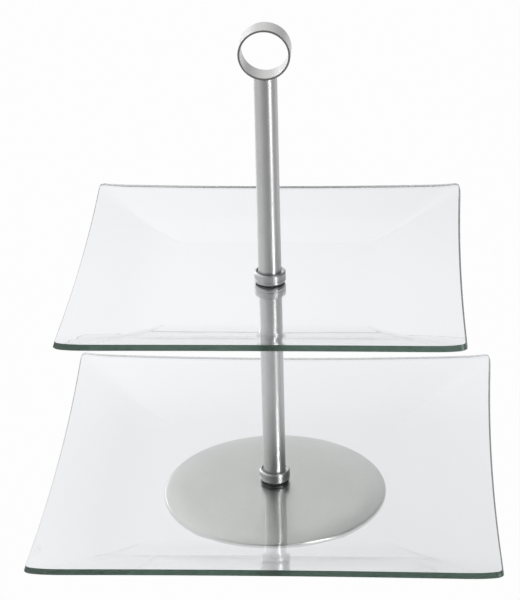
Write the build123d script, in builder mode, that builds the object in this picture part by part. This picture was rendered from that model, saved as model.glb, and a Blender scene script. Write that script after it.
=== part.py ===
from build123d import *
import math
import os

# Two-tier cake stand. Two slumped square glass plates are clamped on a central
# post made of two equal tubes, over a round pressed-steel base, with a ring
# handle on top. The origin is on the table under the post's axis, +Z is up,
# and +Y is the handle's finger direction. All sizes are in millimetres.

# ---------------------------------------------------------------- driving sizes
# Glass plates
lower_side = 300.0
upper_side = 252.0
lower_sag = 4.0  # how far the middle of each side is drawn in
upper_sag = 2.4
lower_rise = 17.6  # height of the rim's middle over the flat floor
upper_rise = 15.3
glass_t = 4.0
glass_hole_d = 12.0
corner_r = 5.0
bend_r = 100.0  # bend between the flat floor and the straight flank
flank_slope = 18.5  # degrees
corner_blend = 8.0  # exponent that rounds the valley along each diagonal
grid_cells = 48  # spans of the sampled dish surface along a side
edge_round = 0.5

# Base
base_r = 75.0
sheet_t = 1.0
foot_d = 10.0
foot_h = 1.5
foot_count = 4
foot_ring_r = 64.5
flange_w = 14.0
roll_r = 2.5
shoulder_r = 36.6
shoulder_slope = 26.0  # degrees at the top of the rolled rim
dome_slope = 5.0  # degrees where the dome meets the shoulder
seat_r = 14.0

# Post
tube_d = 15.0
tube_wall = 1.0
tube_length = 140.0
collar_d = 20.5
collar_h = 7.0
collar_floor = 1.0
collar_bevel = 0.7
socket_play = 0.05
groove_d = 17.6
groove_depth = 1.6
insert_length = 16.0
insert_play = 0.02

# Rubber
washer_d = 18.8
washer_t = 0.5
seat_play = 0.05  # the glass stands this clear of a washer on another body
sleeve_play = 0.2

# Threads, drawn as plain cylinders
thread_d = 6.0
thread_play = 0.05
screw_length = 20.0
screw_head_w = 10.0
screw_head_h = 4.0
screw_hole_d = 6.6
penny_d = 24.0
penny_t = 1.6
spring_d = 10.8
spring_t = 1.6
spring_slit = 0.6
stud_length = 30.0
stud_engagement = 10.0

# Ring handle
ring_d = 33.0
ring_width = 16.0
ring_wall = 1.4
ring_seat = 0.3  # how deep the ring sits in the end of the tube
cap_length = 5.0

# ------------------------------------------------------------- derived heights
slope = math.radians(flank_slope)
roll_end = math.radians(shoulder_slope)
dome_end = math.radians(dome_slope)
roll_reach = roll_r * (1 - math.sin(roll_end))
shoulder_reach = shoulder_r * (math.sin(roll_end) - math.sin(dome_end))
dome_r = (base_r - roll_reach - shoulder_reach - seat_r) / math.sin(dome_end)
roll_lift = roll_r * (1 + math.cos(roll_end))
shoulder_lift = shoulder_r * (math.cos(dome_end) - math.cos(roll_end))
dome_lift = dome_r * (1 - math.cos(dome_end))

seat_z = foot_h + roll_lift + shoulder_lift + dome_lift
lower_glass_z = seat_z + washer_t + seat_play
lower_floor_z = lower_glass_z + glass_t
lower_collar_z = lower_floor_z + washer_t
lower_tube_z = lower_collar_z + collar_floor
lower_tube_top = lower_tube_z + tube_length
support_top = lower_tube_top + collar_floor
support_z = support_top - collar_h
upper_glass_z = support_top + washer_t + seat_play
upper_floor_z = upper_glass_z + glass_t
upper_collar_z = upper_floor_z + washer_t
upper_tube_z = upper_collar_z + collar_floor
upper_tube_top = upper_tube_z + tube_length
ring_z = upper_tube_top - ring_seat + ring_d / 2
stud_z = upper_tube_z + stud_engagement - stud_length
screw_seat_z = seat_z - sheet_t - penny_t - spring_t


# --------------------------------------------------------------- shape helpers
def flank(distance, flat):
    """Height of the dish at a distance from the middle: flat, bend, straight."""
    past = abs(distance) - flat
    bend_run = bend_r * math.sin(slope)
    if past <= 0:
        return 0.0
    if past < bend_run:
        return bend_r - math.sqrt(bend_r**2 - past**2)
    return bend_r * (1 - math.cos(slope)) + (past - bend_run) * math.tan(slope)


def flat_half_width(side, sag, rise):
    """Half width of the flat floor that gives the rim's middle its height."""
    bend_run = bend_r * math.sin(slope)
    bend_rise = bend_r * (1 - math.cos(slope))
    return side / 2 - sag - bend_run - (rise - bend_rise) / math.tan(slope)


def dish_height(x, y, flat):
    """Height over the floor. The two flanks blend softly along the diagonals."""
    u = flank(x, flat)
    v = flank(y, flat)
    return (u**corner_blend + v**corner_blend) ** (1 / corner_blend)


def dish_surface(side, sag, rise, floor_z):
    """The plate's upper face as one smooth surface, a little over its outline."""
    flat = flat_half_width(side, sag, rise)
    step = side * 1.02 / grid_cells
    places = [step * (i - grid_cells / 2) for i in range(grid_cells + 1)]
    points = [[(x, y, floor_z + dish_height(x, y, flat)) for y in places] for x in places]
    return Face.make_surface_from_array_of_points(points, smoothing=(1, 1, 1), max_deg=5)


def collar_profile(z, height):
    """Outer section of a turned collar, bevelled at both ends."""
    bevel = collar_bevel
    r = collar_d / 2
    return Polyline(
        (0, z),
        (r - bevel, z),
        (r, z + bevel),
        (r, z + height - bevel),
        (r - bevel, z + height),
        (0, z + height),
        close=True,
    )


os.makedirs("parts", exist_ok=True)

# ------------------------------------------------------------------------- base
# Pressed shell: a flat seat, a low dome, a rounded shoulder, a rolled rim
# and a flange turned in under it for the feet.
with BuildPart() as base_dome:
    with BuildSketch(Plane.XZ):
        with BuildLine() as skin:
            flange = Line((base_r - flange_w, foot_h), (base_r - roll_r, foot_h))
            roll = JernArc(flange @ 1, flange % 1, roll_r, 180 - shoulder_slope)
            shoulder = JernArc(roll @ 1, roll % 1, shoulder_r, shoulder_slope - dome_slope)
            dome = JernArc(shoulder @ 1, shoulder % 1, dome_r, dome_slope)
            Line(dome @ 1, (screw_hole_d / 2, (dome @ 1).Y))
            offset(amount=sheet_t, side=Side.LEFT)
        make_face()
    revolve(axis=Axis.Z)
base_dome.part.label = "base_dome"
export_step(base_dome.part, "parts/base_dome.step")

for number in range(foot_count):
    angle = 45 + number * 360 / foot_count
    with BuildPart() as base_foot:
        with BuildSketch():
            with PolarLocations(foot_ring_r, 1, start_angle=angle):
                Circle(foot_d / 2)
        extrude(amount=foot_h)
        fillet(base_foot.faces().sort_by(Axis.Z)[0].edges(), 0.6)
    base_foot.part.label = f"base_foot_{number + 1}"
    export_step(base_foot.part, f"parts/base_foot_{number + 1}.step")

# Clamp screw, from below through the base and the lower plate into the post
with BuildPart() as base_screw:
    with BuildSketch(Plane.XY.offset(screw_seat_z - screw_head_h)):
        RegularPolygon(screw_head_w / 2, 6, major_radius=False)
    extrude(amount=screw_head_h)
    chamfer(base_screw.faces().sort_by(Axis.Z)[0].edges(), 0.5)
    with BuildSketch(Plane.XY.offset(screw_seat_z)):
        Circle(thread_d / 2)
    extrude(amount=screw_length)
    chamfer(base_screw.faces().sort_by(Axis.Z)[-1].edges(), 0.6)
base_screw.part.label = "base_screw"
export_step(base_screw.part, "parts/base_screw.step")

with BuildPart() as spring_washer:
    with BuildSketch(Plane.XY.offset(screw_seat_z)):
        Circle(spring_d / 2)
        Circle(thread_d / 2 + thread_play, mode=Mode.SUBTRACT)
        with Locations((spring_d / 4, 0)):
            Rectangle(spring_d / 2, spring_slit, mode=Mode.SUBTRACT)
    extrude(amount=spring_t)
spring_washer.part.label = "spring_washer"
export_step(spring_washer.part, "parts/spring_washer.step")

with BuildPart() as base_washer:
    with BuildSketch(Plane.XY.offset(screw_seat_z + spring_t)):
        Circle(penny_d / 2)
        Circle(screw_hole_d / 2, mode=Mode.SUBTRACT)
    extrude(amount=penny_t)
    chamfer(base_washer.edges().filter_by(GeomType.CIRCLE).group_by(SortBy.RADIUS)[-1], 0.3)
base_washer.part.label = "base_washer"
export_step(base_washer.part, "parts/base_washer.step")


# ---------------------------------------------------------------- glass plates
def plate_outline(side, sag, z):
    """A square sketch with drawn-in sides and round corners."""
    half = side / 2
    corners = [(-half, -half), (half, -half), (half, half), (-half, half)]
    middles = [(0, sag - half), (half - sag, 0), (0, half - sag), (sag - half, 0)]
    with BuildSketch(Plane.XY.offset(z)) as outline:
        with BuildLine():
            for i in range(4):
                ThreePointArc(corners[i], middles[i], corners[(i + 1) % 4])
        make_face()
        fillet(outline.vertices(), corner_r)
    return outline.sketch


def glass_plate(name, side, sag, rise, floor_z):
    """A slumped square plate with a centre hole.

    Its edge was ground square to the sheet before slumping, so it leans by the
    flank's slope. The outline's full size is reached at the rim's lower edge.
    """
    under = 2 * glass_t
    over = 2 * rise
    grow = (rise - glass_t + under) * math.tan(slope)
    shrink = (over - rise + glass_t) * math.tan(slope)
    with BuildPart() as plate:
        extrude(dish_surface(side, sag, rise, floor_z), amount=glass_t, dir=(0, 0, -1))
        loft(
            [
                plate_outline(side + 2 * grow, sag, floor_z - under),
                plate_outline(side - 2 * shrink, sag, floor_z + over),
            ],
            ruled=True,
            mode=Mode.INTERSECT,
        )
        with BuildSketch(Plane.XY.offset(floor_z - 2 * glass_t)):
            Circle(glass_hole_d / 2)
        extrude(amount=3 * glass_t, mode=Mode.SUBTRACT)
        dished = plate.faces().sort_by(SortBy.AREA)[-2:]
        fillet(dished.edges() - plate.edges().filter_by(GeomType.CIRCLE), edge_round)
    plate.part.label = name
    export_step(plate.part, f"parts/{name}.step")


glass_plate("lower_plate", lower_side, lower_sag, lower_rise, lower_floor_z)
glass_plate("upper_plate", upper_side, upper_sag, upper_rise, upper_floor_z)


# ---------------------------------------------------------------------- rubber
def seat_washer(name, z):
    """A flat rubber washer under a plate."""
    with BuildPart() as washer:
        with BuildSketch(Plane.XY.offset(z)):
            Circle(washer_d / 2)
            Circle(screw_hole_d / 2, mode=Mode.SUBTRACT)
        extrude(amount=washer_t)
    washer.part.label = name
    export_step(washer.part, f"parts/{name}.step")


def grommet(name, floor_z):
    """A rubber sleeve in the plate's hole, with a flange under the collar."""
    with BuildPart() as bush:
        with BuildSketch(Plane.XY.offset(floor_z)):
            Circle(washer_d / 2)
        extrude(amount=washer_t)
        with BuildSketch(Plane.XY.offset(floor_z)):
            Circle(glass_hole_d / 2 - sleeve_play)
        extrude(amount=-glass_t + 0.3)
        with BuildSketch(Plane.XY.offset(floor_z - glass_t)):
            Circle(thread_d / 2 + sleeve_play)
        extrude(amount=2 * glass_t, mode=Mode.SUBTRACT)
    bush.part.label = name
    export_step(bush.part, f"parts/{name}.step")


seat_washer("lower_seat_washer", seat_z)
grommet("lower_grommet", lower_floor_z)
seat_washer("upper_seat_washer", support_top)
grommet("upper_grommet", upper_floor_z)


# --------------------------------------------------------------------- collars
def collar(name, z, faces_up):
    """A turned collar: socket for the tube, wider groove at its mouth, thin floor."""
    socket_z = z + collar_floor if faces_up else z
    mouth_z = z + collar_h - groove_depth if faces_up else z
    with BuildPart() as ring:
        with BuildSketch(Plane.XZ):
            with BuildLine():
                collar_profile(z, collar_h)
            make_face()
        revolve(axis=Axis.Z)
        with BuildSketch(Plane.XY.offset(socket_z)):
            Circle(tube_d / 2 + socket_play)
        extrude(amount=collar_h - collar_floor, mode=Mode.SUBTRACT)
        with BuildSketch(Plane.XY.offset(mouth_z)):
            Circle(groove_d / 2)
        extrude(amount=groove_depth, mode=Mode.SUBTRACT)
        with BuildSketch(Plane.XY.offset(z)):
            Circle(screw_hole_d / 2)
        extrude(amount=collar_h, mode=Mode.SUBTRACT)
    ring.part.label = name
    export_step(ring.part, f"parts/{name}.step")


collar("lower_collar", lower_collar_z, faces_up=True)
collar("support_collar", support_z, faces_up=False)
collar("upper_collar", upper_collar_z, faces_up=True)


# ------------------------------------------------------------------------ post
def threaded_insert(name, z):
    """A plug pressed into a tube's end and tapped right through."""
    with BuildPart() as plug:
        with BuildSketch(Plane.XY.offset(z)):
            Circle(tube_d / 2 - tube_wall - insert_play)
            Circle(thread_d / 2 + thread_play, mode=Mode.SUBTRACT)
        extrude(amount=insert_length)
        rims = plug.edges().filter_by(GeomType.CIRCLE).group_by(SortBy.RADIUS)
        chamfer(rims[-1], 0.5)
        chamfer(rims[0], 0.4)
    plug.part.label = name
    export_step(plug.part, f"parts/{name}.step")


with BuildPart() as lower_tube:
    with BuildSketch(Plane.XY.offset(lower_tube_z)):
        Circle(tube_d / 2)
        Circle(tube_d / 2 - tube_wall, mode=Mode.SUBTRACT)
    extrude(amount=tube_length)
lower_tube.part.label = "lower_tube"
export_step(lower_tube.part, "parts/lower_tube.step")

threaded_insert("lower_tube_foot_insert", lower_tube_z)
threaded_insert("lower_tube_head_insert", lower_tube_top - insert_length)
threaded_insert("upper_tube_foot_insert", upper_tube_z)

# Headless stud: it joins the two tubes through the upper plate
with BuildPart() as joining_stud:
    with BuildSketch(Plane.XY.offset(stud_z)):
        Circle(thread_d / 2)
    extrude(amount=stud_length)
    chamfer(joining_stud.edges().filter_by(GeomType.CIRCLE), 0.6)
joining_stud.part.label = "joining_stud"
export_step(joining_stud.part, "parts/joining_stud.step")

# The upper tube and its end cap are hollowed a little to seat the ring
with BuildPart() as upper_tube:
    with BuildSketch(Plane.XY.offset(upper_tube_z)):
        Circle(tube_d / 2)
        Circle(tube_d / 2 - tube_wall, mode=Mode.SUBTRACT)
    extrude(amount=tube_length)
    with BuildSketch(Plane.XZ.offset(-tube_d)):
        with Locations((0, ring_z)):
            Circle(ring_d / 2)
    extrude(amount=2 * tube_d, mode=Mode.SUBTRACT)
upper_tube.part.label = "upper_tube"
export_step(upper_tube.part, "parts/upper_tube.step")

with BuildPart() as upper_tube_end_cap:
    with BuildSketch(Plane.XY.offset(upper_tube_top - cap_length)):
        Circle(tube_d / 2 - tube_wall - insert_play)
    extrude(amount=cap_length)
    with BuildSketch(Plane.XZ.offset(-tube_d)):
        with Locations((0, ring_z)):
            Circle(ring_d / 2)
    extrude(amount=2 * tube_d, mode=Mode.SUBTRACT)
upper_tube_end_cap.part.label = "upper_tube_end_cap"
export_step(upper_tube_end_cap.part, "parts/upper_tube_end_cap.step")

# Ring handle: a slice of larger tube lying front to back, with broken edges
with BuildPart() as ring_handle:
    with BuildSketch(Plane.XZ.offset(-ring_width / 2)):
        with Locations((0, ring_z)):
            Circle(ring_d / 2)
            Circle(ring_d / 2 - ring_wall, mode=Mode.SUBTRACT)
    extrude(amount=ring_width)
    chamfer(ring_handle.edges().filter_by(GeomType.CIRCLE), 0.25)
ring_handle.part.label = "ring_handle"
export_step(ring_handle.part, "parts/ring_handle.step")
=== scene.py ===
import math

import bpy
from mathutils import Matrix, Vector


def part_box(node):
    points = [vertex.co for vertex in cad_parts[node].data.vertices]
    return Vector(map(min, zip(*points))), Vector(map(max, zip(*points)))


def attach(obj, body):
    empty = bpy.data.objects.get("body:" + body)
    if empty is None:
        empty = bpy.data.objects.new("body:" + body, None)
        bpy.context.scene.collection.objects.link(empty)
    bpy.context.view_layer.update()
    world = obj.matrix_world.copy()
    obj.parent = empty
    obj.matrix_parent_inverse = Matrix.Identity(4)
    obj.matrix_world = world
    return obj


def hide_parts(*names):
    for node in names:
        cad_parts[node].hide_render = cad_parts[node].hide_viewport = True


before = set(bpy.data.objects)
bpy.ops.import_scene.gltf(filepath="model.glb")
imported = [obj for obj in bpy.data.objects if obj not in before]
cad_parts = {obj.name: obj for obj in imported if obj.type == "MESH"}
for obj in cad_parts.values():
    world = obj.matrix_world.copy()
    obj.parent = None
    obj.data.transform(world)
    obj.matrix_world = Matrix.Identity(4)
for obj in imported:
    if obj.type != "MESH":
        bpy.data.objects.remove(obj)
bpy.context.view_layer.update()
scene = bpy.context.scene
MM = 0.001
NEARLY = 1e-6  # metres, for comparing lengths

# -------------------------------------------------------------------- sizes (m)
# The frame's own driving sizes, with the fine detail that only the visual pieces have.
# Glass plates
LOWER_SIDE, LOWER_SAG, LOWER_RISE = 300.0 * MM, 4.0 * MM, 17.6 * MM
UPPER_SIDE, UPPER_SAG, UPPER_RISE = 252.0 * MM, 2.4 * MM, 15.3 * MM
GLASS_T = 4.0 * MM
GLASS_HOLE_R = 6.0 * MM
HOLE_BEVEL = 0.3 * MM
CORNER_R = 5.0 * MM
BEND_R = 100.0 * MM
SLOPE = math.radians(18.5)
BLEND = 8.0  # exponent that rounds the valley along each diagonal
FRAME_EDGE_R = 0.5 * MM
EDGE_R = 0.2 * MM  # the real edge is crisper than the frame's

# Rubber: the washers and the grommets' flanges share a radius and a thickness
RUBBER_R = 9.4 * MM
RUBBER_T = 0.5 * MM
WASHER_BORE_R = 3.35 * MM
SLEEVE_R = 5.8 * MM
SLEEVE_BORE_R = 3.2 * MM

# Base
SHEET_T = 1.0 * MM
FOOT_H = 1.5 * MM
FOOT_COUNT = 4
BASE_R = 75.0 * MM
FLANGE_IN_R = 61.0 * MM
ROLL_R = 2.5 * MM
SHOULDER_R = 36.6 * MM
SHOULDER_SLOPE = math.radians(26.0)
DOME_SLOPE = math.radians(5.0)
SEAT_R = 14.0 * MM
SCREW_HOLE_R = 3.3 * MM

# Post
TUBE_R = 7.5 * MM
TUBE_BORE_R = 6.5 * MM
COLLAR_R = 10.25 * MM
COLLAR_BEVEL = 0.7 * MM
COLLAR_FLOOR = 1.0 * MM
SOCKET_R = 7.55 * MM
MOUTH_R = 8.8 * MM  # the wider groove at the mouth of a collar's socket
MOUTH_DEPTH = 1.6 * MM
TURNED_GROOVE = 0.28 * MM  # depth of the fine groove round a collar

# Ring handle
RING_R = 16.5 * MM
RING_BORE_R = 15.1 * MM
RING_HALF = 8.0 * MM
RING_EDGE_R = 0.28 * MM

# Threads
THREAD_R = 3.0 * MM
THREAD_DEPTH = 0.55 * MM
THREAD_BEVEL = 0.6 * MM
PITCH = 1.0 * MM
HEX_APOTHEM = 5.0 * MM
HEX_HEAD_H = 4.0 * MM


def low(node):
    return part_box(node)[0].z


def high(node):
    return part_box(node)[1].z


# ---------------------------------------------------------------- mesh building
def add_mesh(name, verts, faces, material):
    mesh = bpy.data.meshes.new(name)
    mesh.from_pydata(verts, [], faces)
    mesh.validate()
    mesh.polygons.foreach_set("use_smooth", [True] * len(mesh.polygons))
    mesh.materials.append(material)
    obj = bpy.data.objects.new(name, mesh)
    scene.collection.objects.link(obj)
    return obj


def weighted(obj):
    """Normals follow the large faces, so narrow rounded edges don't shade them."""
    mod = obj.modifiers.new("weighted_normal", "WEIGHTED_NORMAL")
    mod.mode = "FACE_AREA"
    mod.weight = 50
    mod.keep_sharp = True
    return obj


def place(obj, body, slot, *nodes):
    """obj stands for those CAD nodes and rides on their body."""
    if nodes:
        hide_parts(*nodes)
    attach(obj, body)
    return obj


def fillet(corners, steps=5):
    """A closed profile from (r, z, radius) corners, each corner with its arc."""
    out = []
    count = len(corners)
    for i, (r, z, radius) in enumerate(corners):
        here = Vector((r, z))
        if radius <= 0:
            out.append(here)
            continue
        before = Vector(corners[i - 1][:2]) - here
        after = Vector(corners[(i + 1) % count][:2]) - here
        angle = before.angle(after)
        reach = radius / math.tan(angle / 2)
        start = here + before.normalized() * reach
        end = here + after.normalized() * reach
        middle = (before.normalized() + after.normalized()).normalized()
        centre = here + middle * (radius / math.sin(angle / 2))
        a, b = start - centre, end - centre
        turn = a.angle(b)
        for k in range(steps + 1):
            t = k / steps
            share_a = math.sin((1 - t) * turn) / math.sin(turn)
            share_b = math.sin(t * turn) / math.sin(turn)
            out.append(centre + a * share_a + b * share_b)
    return [(p.x, p.y) for p in out]


def lathe(profile, steps=160, centre=(0, 0, 0), along="Z", radius=None):
    """Revolves a closed (r, z) profile. radius(angle, r, z) may reshape each turn."""
    verts, index = [], []
    for r, z in profile:
        if r < NEARLY:
            index.append([len(verts)] * steps)
            verts.append((0.0, 0.0, z))
            continue
        row = []
        for s in range(steps):
            angle = 2 * math.pi * s / steps
            rr = radius(angle, r, z) if radius else r
            row.append(len(verts))
            verts.append((rr * math.cos(angle), rr * math.sin(angle), z))
        index.append(row)
    faces = []
    count = len(profile)
    for i in range(count):
        a, b = index[i], index[(i + 1) % count]
        for s in range(steps):
            t = (s + 1) % steps
            face = [a[s], a[t], b[t], b[s]]
            face = [v for k, v in enumerate(face) if v != face[k - 1]]
            if len(face) > 2:
                faces.append(face)
    if along == "Y":
        verts = [(x, z, -y) for x, y, z in verts]
    cx, cy, cz = centre
    verts = [(x + cx, y + cy, z + cz) for x, y, z in verts]
    return verts, faces


# -------------------------------------------------------------------- materials
def nodes_of(name):
    mat = bpy.data.materials.new(name)
    mat.use_nodes = True
    tree = mat.node_tree
    shader = tree.nodes["Principled BSDF"]
    return mat, tree, shader


def link(tree, a, b):
    tree.links.new(a, b)


def stretched_noise(tree, scale, detail=3.0, seed=0.0):
    """Fine noise in the piece's own metres, scaled separately along x, y and z."""
    coord = tree.nodes.new("ShaderNodeTexCoord")
    mapping = tree.nodes.new("ShaderNodeMapping")
    mapping.inputs["Scale"].default_value = scale
    mapping.inputs["Location"].default_value = (seed, seed * 0.7, seed * 1.3)
    noise = tree.nodes.new("ShaderNodeTexNoise")
    noise.inputs["Scale"].default_value = 1.0
    noise.inputs["Detail"].default_value = detail
    noise.inputs["Roughness"].default_value = 0.6
    link(tree, coord.outputs["Object"], mapping.inputs["Vector"])
    link(tree, mapping.outputs["Vector"], noise.inputs["Vector"])
    return noise


def ranged(tree, value, low_out, high_out, low_in=0.3, high_in=0.7):
    """Maps low_in to low_out and high_in to high_out, and holds the value beyond them.

    The default inputs are the middle of a noise's range.
    """
    node = tree.nodes.new("ShaderNodeMapRange")
    node.inputs["From Min"].default_value = low_in
    node.inputs["From Max"].default_value = high_in
    node.inputs["To Min"].default_value = low_out
    node.inputs["To Max"].default_value = high_out
    link(tree, value, node.inputs["Value"])
    return node.outputs["Result"]


def arithmetic(tree, operation, a, b):
    """A Math node of a value and either another value or a plain number."""
    node = tree.nodes.new("ShaderNodeMath")
    node.operation = operation
    link(tree, a, node.inputs[0])
    if isinstance(b, float):
        node.inputs[1].default_value = b
    else:
        link(tree, b, node.inputs[1])
    return node.outputs[0]


def two_tone(tree, value, colour_a, colour_b):
    """Goes from one colour to the other over the middle of a noise's range."""
    ramp = tree.nodes.new("ShaderNodeValToRGB")
    first, last = ramp.color_ramp.elements
    first.position = 0.3
    last.position = 0.7
    first.color = (*colour_a, 1)
    last.color = (*colour_b, 1)
    link(tree, value, ramp.inputs["Fac"])
    return ramp.outputs["Color"]


def bump(tree, height, distance):
    node = tree.nodes.new("ShaderNodeBump")
    node.inputs["Strength"].default_value = 1.0
    node.inputs["Distance"].default_value = distance
    link(tree, height, node.inputs["Height"])
    return node.outputs["Normal"]


def steel(name, grain, tone, rough, anisotropy=0.0, relief=0.01 * MM):
    """Stainless steel. Its grain runs along the axes of small scale, over wide patches.

    An anisotropic steel is brushed round the Z axis, as a turned or polished tube is.
    """
    mat, tree, shader = nodes_of(name)
    fine = stretched_noise(tree, grain, 4.0)
    patches = stretched_noise(tree, (60.0, 60.0, 60.0), 2.0, 3.0)
    furrow_tone = tuple(c * 0.93 for c in tone)
    colour = two_tone(tree, fine.outputs["Fac"], furrow_tone, tone)
    link(tree, colour, shader.inputs["Base Color"])
    grain_rough = ranged(tree, fine.outputs["Fac"], -0.04, 0.04)
    patch_rough = ranged(tree, patches.outputs["Fac"], rough - 0.025, rough + 0.025)
    total_rough = arithmetic(tree, "ADD", grain_rough, patch_rough)
    link(tree, total_rough, shader.inputs["Roughness"])
    link(tree, bump(tree, fine.outputs["Fac"], relief), shader.inputs["Normal"])
    shader.inputs["Metallic"].default_value = 1.0
    if anisotropy:
        shader.inputs["Anisotropic"].default_value = anisotropy
        shader.inputs["Anisotropic Rotation"].default_value = 0.25
        tangent = tree.nodes.new("ShaderNodeTangent")
        tangent.direction_type = "RADIAL"
        tangent.axis = "Z"
        link(tree, tangent.outputs["Tangent"], shader.inputs["Tangent"])
    return mat


def glass(name, scale, smooth, rough, relief=0.0):
    """Clear float glass: the green of its edge is absorption along the long paths.

    Its roughness varies from smooth to rough over spots of the given scale.
    """
    mat, tree, shader = nodes_of(name)
    smear = stretched_noise(tree, (scale, scale, scale), 3.0)
    link(tree, ranged(tree, smear.outputs["Fac"], smooth, rough), shader.inputs["Roughness"])
    if relief:
        link(tree, bump(tree, smear.outputs["Fac"], relief), shader.inputs["Normal"])
    shader.inputs["Base Color"].default_value = (1.0, 1.0, 1.0, 1)
    shader.inputs["Transmission Weight"].default_value = 1.0
    shader.inputs["IOR"].default_value = 1.52
    volume = tree.nodes.new("ShaderNodeVolumeAbsorption")
    volume.inputs["Color"].default_value = (0.49, 0.60, 0.55, 1)
    volume.inputs["Density"].default_value = 18.0
    output = tree.nodes["Material Output"]
    link(tree, volume.outputs["Volume"], output.inputs["Volume"])
    return mat


def rubber(name, tone, rough, clear=0.0):
    """Moulded rubber or silicone with a fine matt grain."""
    mat, tree, shader = nodes_of(name)
    grain = stretched_noise(tree, (1800.0, 1800.0, 1800.0), 3.0)
    dark = tuple(c * 0.8 for c in tone)
    link(tree, two_tone(tree, grain.outputs["Fac"], dark, tone), shader.inputs["Base Color"])
    matt = ranged(tree, grain.outputs["Fac"], rough - 0.08, rough + 0.08)
    link(tree, matt, shader.inputs["Roughness"])
    link(tree, bump(tree, grain.outputs["Fac"], 0.02 * MM), shader.inputs["Normal"])
    shader.inputs["Transmission Weight"].default_value = clear
    shader.inputs["IOR"].default_value = 1.41
    return mat


POST_TONE = (0.66, 0.66, 0.655)
COLLAR_TONE = (0.60, 0.61, 0.61)
CUT_TONE = (0.30, 0.30, 0.295)
WELD_TONE = (0.16, 0.15, 0.14)
post_steel = steel("post_steel", (260.0, 260.0, 9000.0), POST_TONE, 0.38, anisotropy=0.7)
collar_steel = steel("collar_steel", (200.0, 200.0, 12000.0), COLLAR_TONE, 0.40, anisotropy=0.6)
ring_steel = steel("ring_steel", (300.0, 2500.0, 300.0), POST_TONE, 0.30, relief=0.004 * MM)
cut_steel = steel("cut_steel", (2500.0, 300.0, 2500.0), CUT_TONE, 0.42, relief=0.02 * MM)
base_steel = steel("base_steel", (420.0, 420.0, 420.0), (0.72, 0.72, 0.71), 0.37)
zinc = steel("bright_zinc", (900.0, 900.0, 900.0), (0.60, 0.61, 0.63), 0.30)
weld_steel = steel("weld_steel", (1500.0, 1500.0, 1500.0), WELD_TONE, 0.45, relief=0.06 * MM)
plate_glass = glass("plate_glass", scale=9.0, smooth=0.0, rough=0.012, relief=0.12 * MM)
edge_glass = glass("ground_edge_glass", scale=400.0, smooth=0.38, rough=0.43)
black_rubber = rubber("black_rubber", (0.12, 0.122, 0.125), 0.55)
silicone = rubber("clear_silicone", (0.80, 0.82, 0.82), 0.30, clear=0.6)


# ----------------------------------------------------------------- glass plates
def flank(distance, flat):
    """Height of the dish: a flat floor, a bend, then a straight flank."""
    past = abs(distance) - flat
    bend_run = BEND_R * math.sin(SLOPE)
    if past <= 0:
        return 0.0
    if past < bend_run:
        return BEND_R - math.sqrt(BEND_R**2 - past**2)
    return BEND_R * (1 - math.cos(SLOPE)) + (past - bend_run) * math.tan(SLOPE)


def dish(x, y, flat):
    """Height over the floor. The two flanks blend softly along the diagonals."""
    u, v = flank(x, flat), flank(y, flat)
    high_side = max(u, v)
    if high_side == 0:
        return 0.0
    u, v = u / high_side, v / high_side
    return high_side * (u**BLEND + v**BLEND) ** (1 / BLEND)


def plate_outline(side, sag, side_steps=88, corner_steps=14):
    """Points and outward normals round a square with drawn-in sides, round corners."""
    half = side / 2
    arc_r = (half**2 + sag**2) / (2 * sag)
    centre_x = half - sag + arc_r
    # the corner circle's centre (c, c) is arc_r + CORNER_R from (centre_x, 0)
    reach = arc_r + CORNER_R
    c = (centre_x - math.sqrt(2 * reach**2 - centre_x**2)) / 2
    touch = math.atan2(c, centre_x - c)
    points = []
    for s in range(side_steps):
        a = touch * (2 * s / side_steps - 1)
        x, y = centre_x - arc_r * math.cos(a), arc_r * math.sin(a)
        points.append((x, y, math.cos(a), -math.sin(a)))
    first = -touch
    last = math.pi / 2 + touch
    for s in range(corner_steps):
        a = first + (last - first) * s / corner_steps
        x, y = c + CORNER_R * math.cos(a), c + CORNER_R * math.sin(a)
        points.append((x, y, math.cos(a), math.sin(a)))
    outline = []
    for quarter in range(4):
        outline += points
        points = [(-y, x, -ny, nx) for x, y, nx, ny in points]
    return outline


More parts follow.
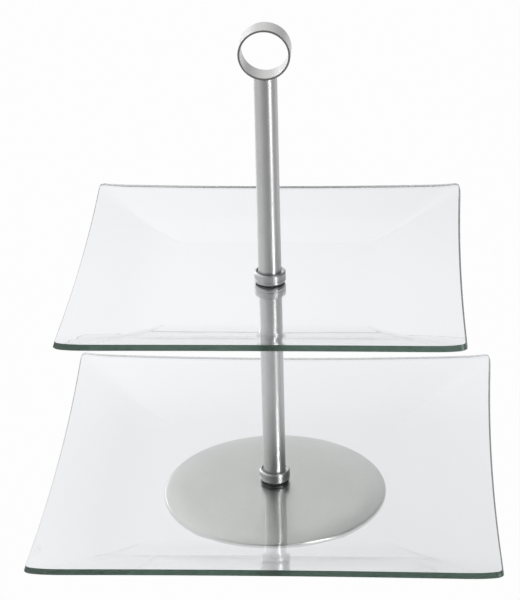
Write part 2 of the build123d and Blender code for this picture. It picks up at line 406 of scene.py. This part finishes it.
def glass_plate(name, side, sag, rise, floor_z):
    """A slumped plate with a hole, whose edge was ground before it was slumped."""
    bend_run = BEND_R * math.sin(SLOPE)
    bend_rise = BEND_R * (1 - math.cos(SLOPE))
    flat = side / 2 - sag - bend_run - (rise - bend_rise) / math.tan(SLOPE)
    outline = plate_outline(side, sag)
    count = len(outline)
    # the frame's edges are rounded more, so these start a little further in
    trim = (FRAME_EDGE_R - EDGE_R) * (math.cos(SLOPE) + math.sin(SLOPE) - 1)

    def edge_at(x, y, nx, ny, level):
        """Where the leaning edge meets the upper face (level 0) or the lower one."""
        inset = trim
        for _ in range(4):  # enough rounds for the inset to settle
            px, py = x - nx * inset, y - ny * inset
            z = dish(px, py, flat) + level
            inset = trim + (z - rise + GLASS_T) * math.tan(SLOPE)
        return Vector((px, py, z))

    # Shares of the way from the hole to the edge's rounding: one row close to the hole
    # to keep its normals, wide steps over the flat floor, and fine ones over the bend.
    by_hole, floor_share, floor_rows, bend_rows = 0.003, 0.48, 8, 56
    shares = [by_hole] + [floor_share * i / floor_rows for i in range(1, floor_rows)]
    shares += [floor_share + (1 - floor_share) * i / bend_rows for i in range(bend_rows + 1)]

    def face_rows(ends, level):
        rows = []
        for share in shares:
            row = []
            for end in ends:
                a = math.atan2(end.y, end.x)
                hx, hy = GLASS_HOLE_R * math.cos(a), GLASS_HOLE_R * math.sin(a)
                px, py = hx + (end.x - hx) * share, hy + (end.y - hy) * share
                row.append(Vector((px, py, dish(px, py, flat) + level)))
            rows.append(row)
        return rows

    def hole_row(z):
        angles = [math.atan2(y, x) for x, y, nx, ny in outline]
        return [
            Vector((GLASS_HOLE_R * math.cos(a), GLASS_HOLE_R * math.sin(a), z)) for a in angles
        ]

    # outward along the flank, and down the edge
    cos_slope, sin_slope = math.cos(SLOPE), math.sin(SLOPE)
    outward = [Vector((nx * cos_slope, ny * cos_slope, sin_slope)) for x, y, nx, ny in outline]
    down = [Vector((nx * sin_slope, ny * sin_slope, -cos_slope)) for x, y, nx, ny in outline]
    upper = [edge_at(*point, 0.0) for point in outline]
    lower = [edge_at(*point, -GLASS_T) for point in outline]
    upper_arc, lower_arc = [], []
    arc_steps = 6
    for k in range(1, arc_steps + 1):
        phi = math.pi / 2 * k / arc_steps
        near, far = EDGE_R * (1 - math.cos(phi)), EDGE_R * (1 - math.sin(phi))
        upper_arc.append([e - o * far + d * near for e, o, d in zip(upper, outward, down)])
        lower_arc.append([e - o * far - d * near for e, o, d in zip(lower, outward, down)])
    upper_ends = [e - o * EDGE_R for e, o in zip(upper, outward)]
    lower_ends = [e - o * EDGE_R for e, o in zip(lower, outward)]
    loops = [hole_row(-HOLE_BEVEL)] + face_rows(upper_ends, 0.0) + upper_arc
    loops += lower_arc[::-1] + face_rows(lower_ends, -GLASS_T)[::-1]
    loops += [hole_row(HOLE_BEVEL - GLASS_T)]
    verts = [(p.x, p.y, p.z + floor_z) for row in loops for p in row]
    faces = []
    for i in range(len(loops)):
        j = (i + 1) % len(loops)
        for s in range(count):
            t = (s + 1) % count
            faces.append((i * count + s, j * count + s, j * count + t, i * count + t))
    plate = add_mesh(name, verts, faces, plate_glass)
    plate.data.materials.append(edge_glass)
    first = (1 + len(shares)) * count
    last = first + (len(upper_arc) + len(lower_arc)) * count
    for polygon in plate.data.polygons:
        if first <= polygon.index < last:
            polygon.material_index = 1
    return weighted(plate)


# the upper face of each plate's flat floor, under its grommet's flange
lower_floor = high("lower_grommet") - RUBBER_T
upper_floor = high("upper_grommet") - RUBBER_T
lower_glass = glass_plate("lower_glass", LOWER_SIDE, LOWER_SAG, LOWER_RISE, lower_floor)
upper_glass = glass_plate("upper_glass", UPPER_SIDE, UPPER_SAG, UPPER_RISE, upper_floor)
place(lower_glass, "lower_plate", "clear_glass", "lower_plate")
place(upper_glass, "upper_plate", "clear_glass", "upper_plate")


# ----------------------------------------------------------------------- rubber
def grommet(name, node, body, floor_z):
    """Flange on the glass, sleeve in its hole, softly rounded like moulded rubber."""
    lift = 0.015 * MM  # a hair of air, so that no two faces share a place
    top = high(node)
    foot = low(node)
    profile = fillet(
        [
            (SLEEVE_BORE_R, top, 0.10 * MM),
            (SLEEVE_BORE_R, foot, 0.15 * MM),
            (SLEEVE_R, foot, 0.3 * MM),
            (SLEEVE_R, floor_z + lift, 0.0),
            (RUBBER_R, floor_z + lift, 0.1 * MM),
            (RUBBER_R, top, 0.15 * MM),
        ],
        3,
    )
    rubber_ring = weighted(add_mesh(name, *lathe(profile, 128), black_rubber))
    place(rubber_ring, body, "black_rubber", node)


def seat_washer(name, node, body):
    """A flat rubber washer with softly rounded edges."""
    top, foot = high(node), low(node)
    profile = fillet(
        [
            (WASHER_BORE_R, top, 0.1 * MM),
            (WASHER_BORE_R, foot, 0.1 * MM),
            (RUBBER_R, foot, 0.15 * MM),
            (RUBBER_R, top, 0.15 * MM),
        ],
        3,
    )
    rubber_ring = weighted(add_mesh(name, *lathe(profile, 128), black_rubber))
    place(rubber_ring, body, "black_rubber", node)


grommet("lower_grommet_rubber", "lower_grommet", "lower_plate", lower_floor)
grommet("upper_grommet_rubber", "upper_grommet", "upper_plate", upper_floor)
seat_washer("lower_seat_rubber", "lower_seat_washer", "base")
seat_washer("upper_seat_rubber", "upper_seat_washer", "lower_post")


# ------------------------------------------------------------------------- base
def base_shell():
    """The pressed shell: seat, low dome, rounded shoulder, rolled rim, flange."""
    # each entry is a point of the outer skin and the skin's normal there
    skin = []

    def toward(angle):
        """Unit vector at an angle that is measured from straight up, outwards."""
        return Vector((math.sin(angle), math.cos(angle)))

    def arc(centre, radius, start, end, steps, first=1):
        for k in range(first, steps + 1):
            normal = toward(start + (end - start) * k / steps)
            skin.append((centre + normal * radius, normal))

    down = Vector((0.0, -1.0))
    flat_end = BASE_R - ROLL_R - 4 * MM
    skin.append((Vector((FLANGE_IN_R, FOOT_H)), down))
    skin.append((Vector((flat_end, FOOT_H)), down))
    roll_centre = Vector((BASE_R - ROLL_R, FOOT_H + ROLL_R))
    arc(roll_centre, ROLL_R, math.pi, SHOULDER_SLOPE, 28, first=0)
    shoulder_centre = roll_centre - toward(SHOULDER_SLOPE) * (SHOULDER_R - ROLL_R)
    arc(shoulder_centre, SHOULDER_R, SHOULDER_SLOPE, DOME_SLOPE, 12)
    shoulder_end = shoulder_centre + toward(DOME_SLOPE) * SHOULDER_R
    dome_r = (shoulder_end.x - SEAT_R) / math.sin(DOME_SLOPE)
    arc(shoulder_end - toward(DOME_SLOPE) * dome_r, dome_r, DOME_SLOPE, 0.0, 24)
    seat_z = skin[-1][0].y
    skin.append((Vector((SCREW_HOLE_R + 0.15 * MM, seat_z)), -down))
    outer = [(p.x, p.y) for p, n in skin]
    inner = [(p.x - n.x * SHEET_T, p.y - n.y * SHEET_T) for p, n in skin]
    return outer + inner[::-1]


base = add_mesh("base_shell", *lathe(base_shell(), 256), base_steel)
place(weighted(base), "base", "satin_base_steel", "base_dome")

for number in range(1, FOOT_COUNT + 1):
    node = f"base_foot_{number}"
    lo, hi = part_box(node)
    radius = (hi.x - lo.x) / 2
    profile = fillet(
        [
            (0.0, lo.z, 0.0),
            (radius - 0.9 * MM, lo.z, 0.0),
            (radius, lo.z, 0.65 * MM),
            (radius, hi.z, 0.1 * MM),
            (0.0, hi.z, 0.0),
        ],
        5,
    )
    under_flange = hi.z - 0.005 * MM
    profile = [(r, min(z, under_flange)) for r, z in profile]
    centre = ((lo.x + hi.x) / 2, (lo.y + hi.y) / 2, 0)
    foot = add_mesh(f"silicone_foot_{number}", *lathe(profile, 64, centre), silicone)
    place(weighted(foot), "base", "clear_silicone", node)


# ---------------------------------------------------------------------- collars
def collar(name, node, body, faces_up):
    """A turned collar with fine bevels, a groove round it and a socket for the tube."""
    lo, hi = low(node), high(node)
    depth = hi - lo
    corners = [
        (COLLAR_R - COLLAR_BEVEL, 0.0, 0.08 * MM),
        (COLLAR_R, COLLAR_BEVEL, 0.25 * MM),
        # the fine groove
        (COLLAR_R, 2.0 * MM, 0.04 * MM),
        (COLLAR_R - TURNED_GROOVE, 2.2 * MM, 0.04 * MM),
        (COLLAR_R - TURNED_GROOVE, 2.4 * MM, 0.04 * MM),
        (COLLAR_R, 2.6 * MM, 0.04 * MM),
        # the outer wall, the top bevel, then down the socket
        (COLLAR_R, depth - COLLAR_BEVEL, 0.25 * MM),
        (COLLAR_R - COLLAR_BEVEL, depth, 0.15 * MM),
        (MOUTH_R, depth, 0.12 * MM),
        (MOUTH_R, depth - MOUTH_DEPTH, 0.1 * MM),
        (SOCKET_R, depth - MOUTH_DEPTH, 0.08 * MM),
        (SOCKET_R, COLLAR_FLOOR, 0.0),
        (SCREW_HOLE_R, COLLAR_FLOOR, 0.08 * MM),
        (SCREW_HOLE_R, 0.0, 0.08 * MM),
    ]
    profile = fillet(corners, 4)
    if not faces_up:
        profile = [(r, depth - z) for r, z in profile][::-1]
    mesh = lathe([(r, z + lo) for r, z in profile], 160)
    place(weighted(add_mesh(name, *mesh, collar_steel)), body, "turned_steel", node)


collar("lower_collar_turned", "lower_collar", "lower_collar", True)
collar("support_collar_turned", "support_collar", "lower_post", False)
collar("upper_collar_turned", "upper_collar", "upper_collar", True)


# ------------------------------------------------------------------------- post
def tube(name, node, body, saddle_z=None):
    """A plain tube. Its head may be cut to the ring whose centre is at saddle_z."""
    lo, hi = low(node), high(node)
    rows = 24
    outer = [(TUBE_R, lo + (hi - lo) * k / rows, 0.0) for k in range(1, rows)]
    corners = (
        [(TUBE_BORE_R, lo, 0.15 * MM), (TUBE_R, lo, 0.2 * MM)]
        + outer
        + [(TUBE_R, hi, 0.12 * MM), (TUBE_BORE_R, hi, 0.1 * MM)]
    )
    verts, faces = lathe(fillet(corners, 4), 160)
    if saddle_z:
        head = hi - 1.0 * MM
        verts = [
            (x, y, min(z, saddle_z - math.sqrt(RING_R**2 - x**2)) if z > head else z)
            for x, y, z in verts
        ]
    place(weighted(add_mesh(name, verts, faces, post_steel)), body, "brushed_post_steel", node)


ring_lo, ring_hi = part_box("ring_handle")
ring_z = (ring_lo.z + ring_hi.z) / 2
tube("lower_tube_brushed", "lower_tube", "lower_post")
tube("upper_tube_brushed", "upper_tube", "upper_post", ring_z)

profile = fillet(
    [
        (RING_R, -RING_HALF, RING_EDGE_R),
        (RING_R, RING_HALF, RING_EDGE_R),
        (RING_BORE_R, RING_HALF, RING_EDGE_R),
        (RING_BORE_R, -RING_HALF, RING_EDGE_R),
    ],
    5,
)
ring = add_mesh("ring_band", *lathe(profile, 224, (0, 0, ring_z), "Y"), ring_steel)
ring.data.materials.append(cut_steel)
for polygon in ring.data.polygons:
    if abs(polygon.normal.y) > 0.8:  # the sawn ends of the band
        polygon.material_index = 1
place(weighted(ring), "upper_post", "brushed_post_steel", "ring_handle")


def bead_radius(angle, r, z):
    """An uneven drop of weld metal, flatter across the tube than along it."""
    lumps = 1 + 0.14 * math.sin(3 * angle + 1.0) + 0.07 * math.sin(7 * angle)
    return r * lumps * (1 - 0.45 * math.sin(angle) ** 2)


def weld_bead(name, facing):
    """Spot weld in the corner between the ring's edge and the tube's head."""
    half_w, half_h, steps = 1.0 * MM, 0.45 * MM, 12
    turns = [math.pi * (k / steps - 0.5) for k in range(steps + 1)]
    profile = [(half_w * math.cos(t), half_h * math.sin(t)) for t in turns]
    centre = (0.0, facing * (TUBE_R - 0.05 * MM), ring_lo.z + 0.1 * MM)
    bead = add_mesh(name, *lathe(profile, 48, centre, radius=bead_radius), weld_steel)
    place(bead, "upper_post", "brushed_post_steel")


weld_bead("ring_weld_front", -1)
weld_bead("ring_weld_back", 1)


# ---------------------------------------------------------------------- threads
def thread_radius(angle, r, z):
    """Radius of a right-hand M6 thread where the profile asks for full radius."""
    if r < THREAD_R - NEARLY:
        return min(r, THREAD_R - 0.05 * MM)
    turn = (z / PITCH - angle / (2 * math.pi)) % 1.0
    from_crest = abs(turn - 0.5) * 2
    crest_share, flank_share = 0.1, 0.75
    sunk = min(max((from_crest - crest_share) / flank_share, 0.0), 1.0)
    return THREAD_R - THREAD_DEPTH * sunk


def threaded_rows(lo, hi):
    """Profile up the thread, ten rows a turn, with a plain bevel at each end."""
    full = hi - lo - 2 * THREAD_BEVEL
    rows = [(THREAD_R - THREAD_DEPTH, lo)]
    steps = int(full / (PITCH / 10))
    for k in range(steps + 1):
        rows.append((THREAD_R, lo + THREAD_BEVEL + full * k / steps))
    rows.append((THREAD_R - THREAD_DEPTH, hi))
    return rows


lo, hi = low("joining_stud"), high("joining_stud")
profile = [(0.0, lo)] + threaded_rows(lo, hi) + [(0.0, hi)]
stud = add_mesh("threaded_stud", *lathe(profile, 48, radius=thread_radius), zinc)
place(stud, "lower_post", "plain_steel", "joining_stud")


def hex_radius(angle, r, z):
    """Cuts what is wider than the thread to a hexagon, and threads the rest."""
    if r <= THREAD_R + NEARLY:
        return thread_radius(angle, r, z) if r > 0.5 * MM else r
    sixth = math.pi / 3
    return min(r, HEX_APOTHEM / math.cos((angle + sixth / 2) % sixth - sixth / 2))


# From below: the head's chamfer, its flats, the bearing face and the threaded shank.
lo, hi = low("base_screw"), high("base_screw")
seat = lo + HEX_HEAD_H
bearing = seat - 0.02 * MM
corner_r = 5.75 * MM
shank = threaded_rows(seat - THREAD_BEVEL, hi)[1:]
profile = (
    [(0.0, lo), (4.6 * MM, lo), (5.1 * MM, lo + 0.25 * MM), (corner_r, lo + 0.65 * MM)]
    + [(corner_r, bearing), (THREAD_R + 0.3 * MM, bearing)]
    + shank
    + [(0.0, hi)]
)
screw = add_mesh("hex_screw", *lathe(profile, 96, radius=hex_radius), zinc)
place(weighted(screw), "base", "plain_steel", "base_screw")

# The plain pieces inside the base and the post keep the frame's own shapes.
for node in (
    "spring_washer",
    "base_washer",
    "lower_tube_foot_insert",
    "lower_tube_head_insert",
    "upper_tube_foot_insert",
    "upper_tube_end_cap",
):
    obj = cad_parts[node]
    obj.data.materials.clear()
    obj.data.materials.append(post_steel if node == "upper_tube_end_cap" else zinc)


# ---------------------------------------------------------------------- staging
def soft_step(tree, value, start, end, before, after):
    """Goes smoothly from before to after as value goes from start to end."""
    level = ranged(tree, value, before, after, start, end)
    level.node.interpolation_type = "SMOOTHSTEP"
    return level


def stage_plane(name, corners, grey, strength, glow_tint=(1.0, 1.0, 1.0), painted_falloffs=(), painted_shadow=None):
    """A flat stage surface. Its glow can be painted light: falloffs along the floor paint
    shade, and a dip round the stand paints a shadow.

    Each falloff is (direction, start, end, before, after), and the painted shadow round the
    stand is (start, end, before, after).
    """
    mesh = bpy.data.meshes.new(name)
    mesh.from_pydata(corners, [], [tuple(range(len(corners)))])
    mat, tree, shader = nodes_of(name)
    shader.inputs["Base Color"].default_value = (grey, grey, grey, 1)
    shader.inputs["Roughness"].default_value = 0.9
    shader.inputs["Specular IOR Level"].default_value = 0.0
    shader.inputs["Emission Color"].default_value = (1, 1, 1, 1)
    shader.inputs["Emission Strength"].default_value = strength
    coord = tree.nodes.new("ShaderNodeTexCoord")
    level = None
    # painted shade: each falloff dims the glow along one direction across the floor
    for direction, *step in painted_falloffs:
        along = tree.nodes.new("ShaderNodeVectorMath")
        along.operation = "DOT_PRODUCT"
        along.inputs[1].default_value = direction
        link(tree, coord.outputs["Object"], along.inputs[0])
        factor = soft_step(tree, along.outputs["Value"], *step)
        level = arithmetic(tree, "MULTIPLY", level, factor) if level else factor
    # painted shadow: the glow dips round the stand's foot
    if painted_shadow:
        length = tree.nodes.new("ShaderNodeVectorMath")
        length.operation = "LENGTH"
        link(tree, coord.outputs["Object"], length.inputs[0])
        factor = soft_step(tree, length.outputs["Value"], *painted_shadow)
        level = arithmetic(tree, "MULTIPLY", level, factor)
    if level:
        tint = tree.nodes.new("ShaderNodeCombineColor")
        for channel, share in zip(("Red", "Green", "Blue"), glow_tint):
            link(tree, arithmetic(tree, "MULTIPLY", level, share), tint.inputs[channel])
        link(tree, tint.outputs["Color"], shader.inputs["Emission Color"])
    mesh.materials.append(mat)
    obj = bpy.data.objects.new(name, mesh)
    scene.collection.objects.link(obj)
    return obj


def square(half, z):
    return [(-half, -half, z), (half, -half, z), (half, half, z), (-half, half, z)]


STAGE_HALF = 12.0
# The floor that the camera sees, evenly bright, and the slightly dimmer one that glass and
# steel see, whose glow is painted light with painted shade and a painted shadow round the
# stand.
floor = stage_plane("floor", square(STAGE_HALF, 0.0), grey=0.0, strength=0.985)
floor.visible_glossy = False
floor.visible_transmission = False
floor.visible_diffuse = False
floor.visible_shadow = False
painted_floor = stage_plane(
    "painted_floor_glow",
    square(STAGE_HALF, -0.1 * MM),
    grey=0.15,
    strength=0.87,
    glow_tint=(0.985, 0.985, 1.015),
    # painted shade: the glow is dimmed towards the front right, far to the left, to the right
    # and behind
    painted_falloffs=(
        ((-0.45, 0.9, 0.0), -0.75, 0.0, 0.28, 1.0),  # dark towards the front right
        ((-1.0, 0.0, 0.0), 0.40, 0.65, 1.0, 0.60),  # dimmer far to the left
        ((1.0, 0.0, 0.0), -0.20, 0.35, 1.0, 0.86),  # a little dimmer to the right
        ((0.0, 1.0, 0.0), 0.30, 0.55, 1.0, 0.94),  # a little dimmer behind
    ),
    # painted shadow of the stand: the glow dips to 0.93 within 0.10 m and recovers by 0.30 m
    painted_shadow=(0.10, 0.30, 0.93, 1.0),
)
painted_floor.visible_camera = False

# A soft studio: bright walls to the left and behind, dark ones to the right and in front.
world = bpy.data.worlds.new("studio")
scene.world = world
world.use_nodes = True
tree = world.node_tree
background = tree.nodes["Background"]
coord = tree.nodes.new("ShaderNodeTexCoord")
side = tree.nodes.new("ShaderNodeVectorMath")
side.operation = "DOT_PRODUCT"
side.inputs[1].default_value = (-0.8, 0.6, 0.0)
link(tree, coord.outputs["Generated"], side.inputs[0])
across = soft_step(tree, side.outputs["Value"], -0.6, 0.9, 0.04, 0.98)
split = tree.nodes.new("ShaderNodeSeparateXYZ")
link(tree, coord.outputs["Generated"], split.inputs["Vector"])
higher = soft_step(tree, split.outputs["Z"], 0.20, 0.60, 0.90, 1.15)
above = soft_step(tree, split.outputs["Z"], 0.55, 0.95, 0.0, 0.2)
walls = arithmetic(tree, "MULTIPLY", across, higher)
link(tree, arithmetic(tree, "ADD", walls, above), background.inputs["Strength"])
background.inputs["Color"].default_value = (1.0, 1.0, 1.0, 1)


def softbox(name, place_at, width, radiance):
    """A tall area light that faces the middle of the stand."""
    height = 1.1
    middle = Vector((0.0, 0.0, 0.15))
    data = bpy.data.lights.new(name, "AREA")
    data.shape = "RECTANGLE"
    data.size = width
    data.size_y = height
    data.energy = radiance * width * height * math.pi
    obj = bpy.data.objects.new(name, data)
    scene.collection.objects.link(obj)
    obj.location = place_at
    obj.rotation_euler = (middle - obj.location).to_track_quat("-Z", "Y").to_euler()
    return obj


softbox("strip_right", (0.87, -0.87, 0.45), width=0.34, radiance=8.0)
strip_left = softbox("strip_left", (-0.75, 0.85, 0.45), width=0.60, radiance=2.2)

# The left strip is there for the steel: its mirror image in the plates would hide the base.
unlit = bpy.data.collections.new("not_lit_by_strip_left")
for plate in (lower_glass, upper_glass):
    unlit.objects.link(plate)
for member in unlit.collection_objects:
    member.light_linking.link_state = "EXCLUDE"
strip_left.light_linking.receiver_collection = unlit


# ----------------------------------------------------------------------- camera
TARGET = Vector((-0.0069, 0.0, 0.1496))
DISTANCE = 1.5942
YAW = math.radians(-3.85)
PITCH_DOWN = math.radians(25.62)
ROLL = math.radians(-1.51)
forward = Vector(
    (
        math.sin(YAW) * math.cos(PITCH_DOWN),
        math.cos(YAW) * math.cos(PITCH_DOWN),
        -math.sin(PITCH_DOWN),
    )
)
right = Vector((math.cos(YAW), -math.sin(YAW), 0.0))
up = right.cross(forward)
right_rolled = right * math.cos(ROLL) + up * math.sin(ROLL)
up_rolled = up * math.cos(ROLL) - right * math.sin(ROLL)
lens = bpy.data.cameras.new("photo_camera")
lens.lens = 146.7
lens.sensor_width = 36.0
camera = bpy.data.objects.new("photo_camera", lens)
scene.collection.objects.link(camera)
turn = Matrix((right_rolled, up_rolled, -forward)).transposed()
camera.matrix_world = Matrix.Translation(TARGET - forward * DISTANCE) @ turn.to_4x4()
scene.camera = camera

# Light runs the whole length of a plate by total reflection before it leaves its edge.
scene.cycles.max_bounces = 48
scene.cycles.glossy_bounces = 48
scene.cycles.transmission_bounces = 24
scene.view_settings.view_transform = "Standard"
scene.view_settings.look = "None"
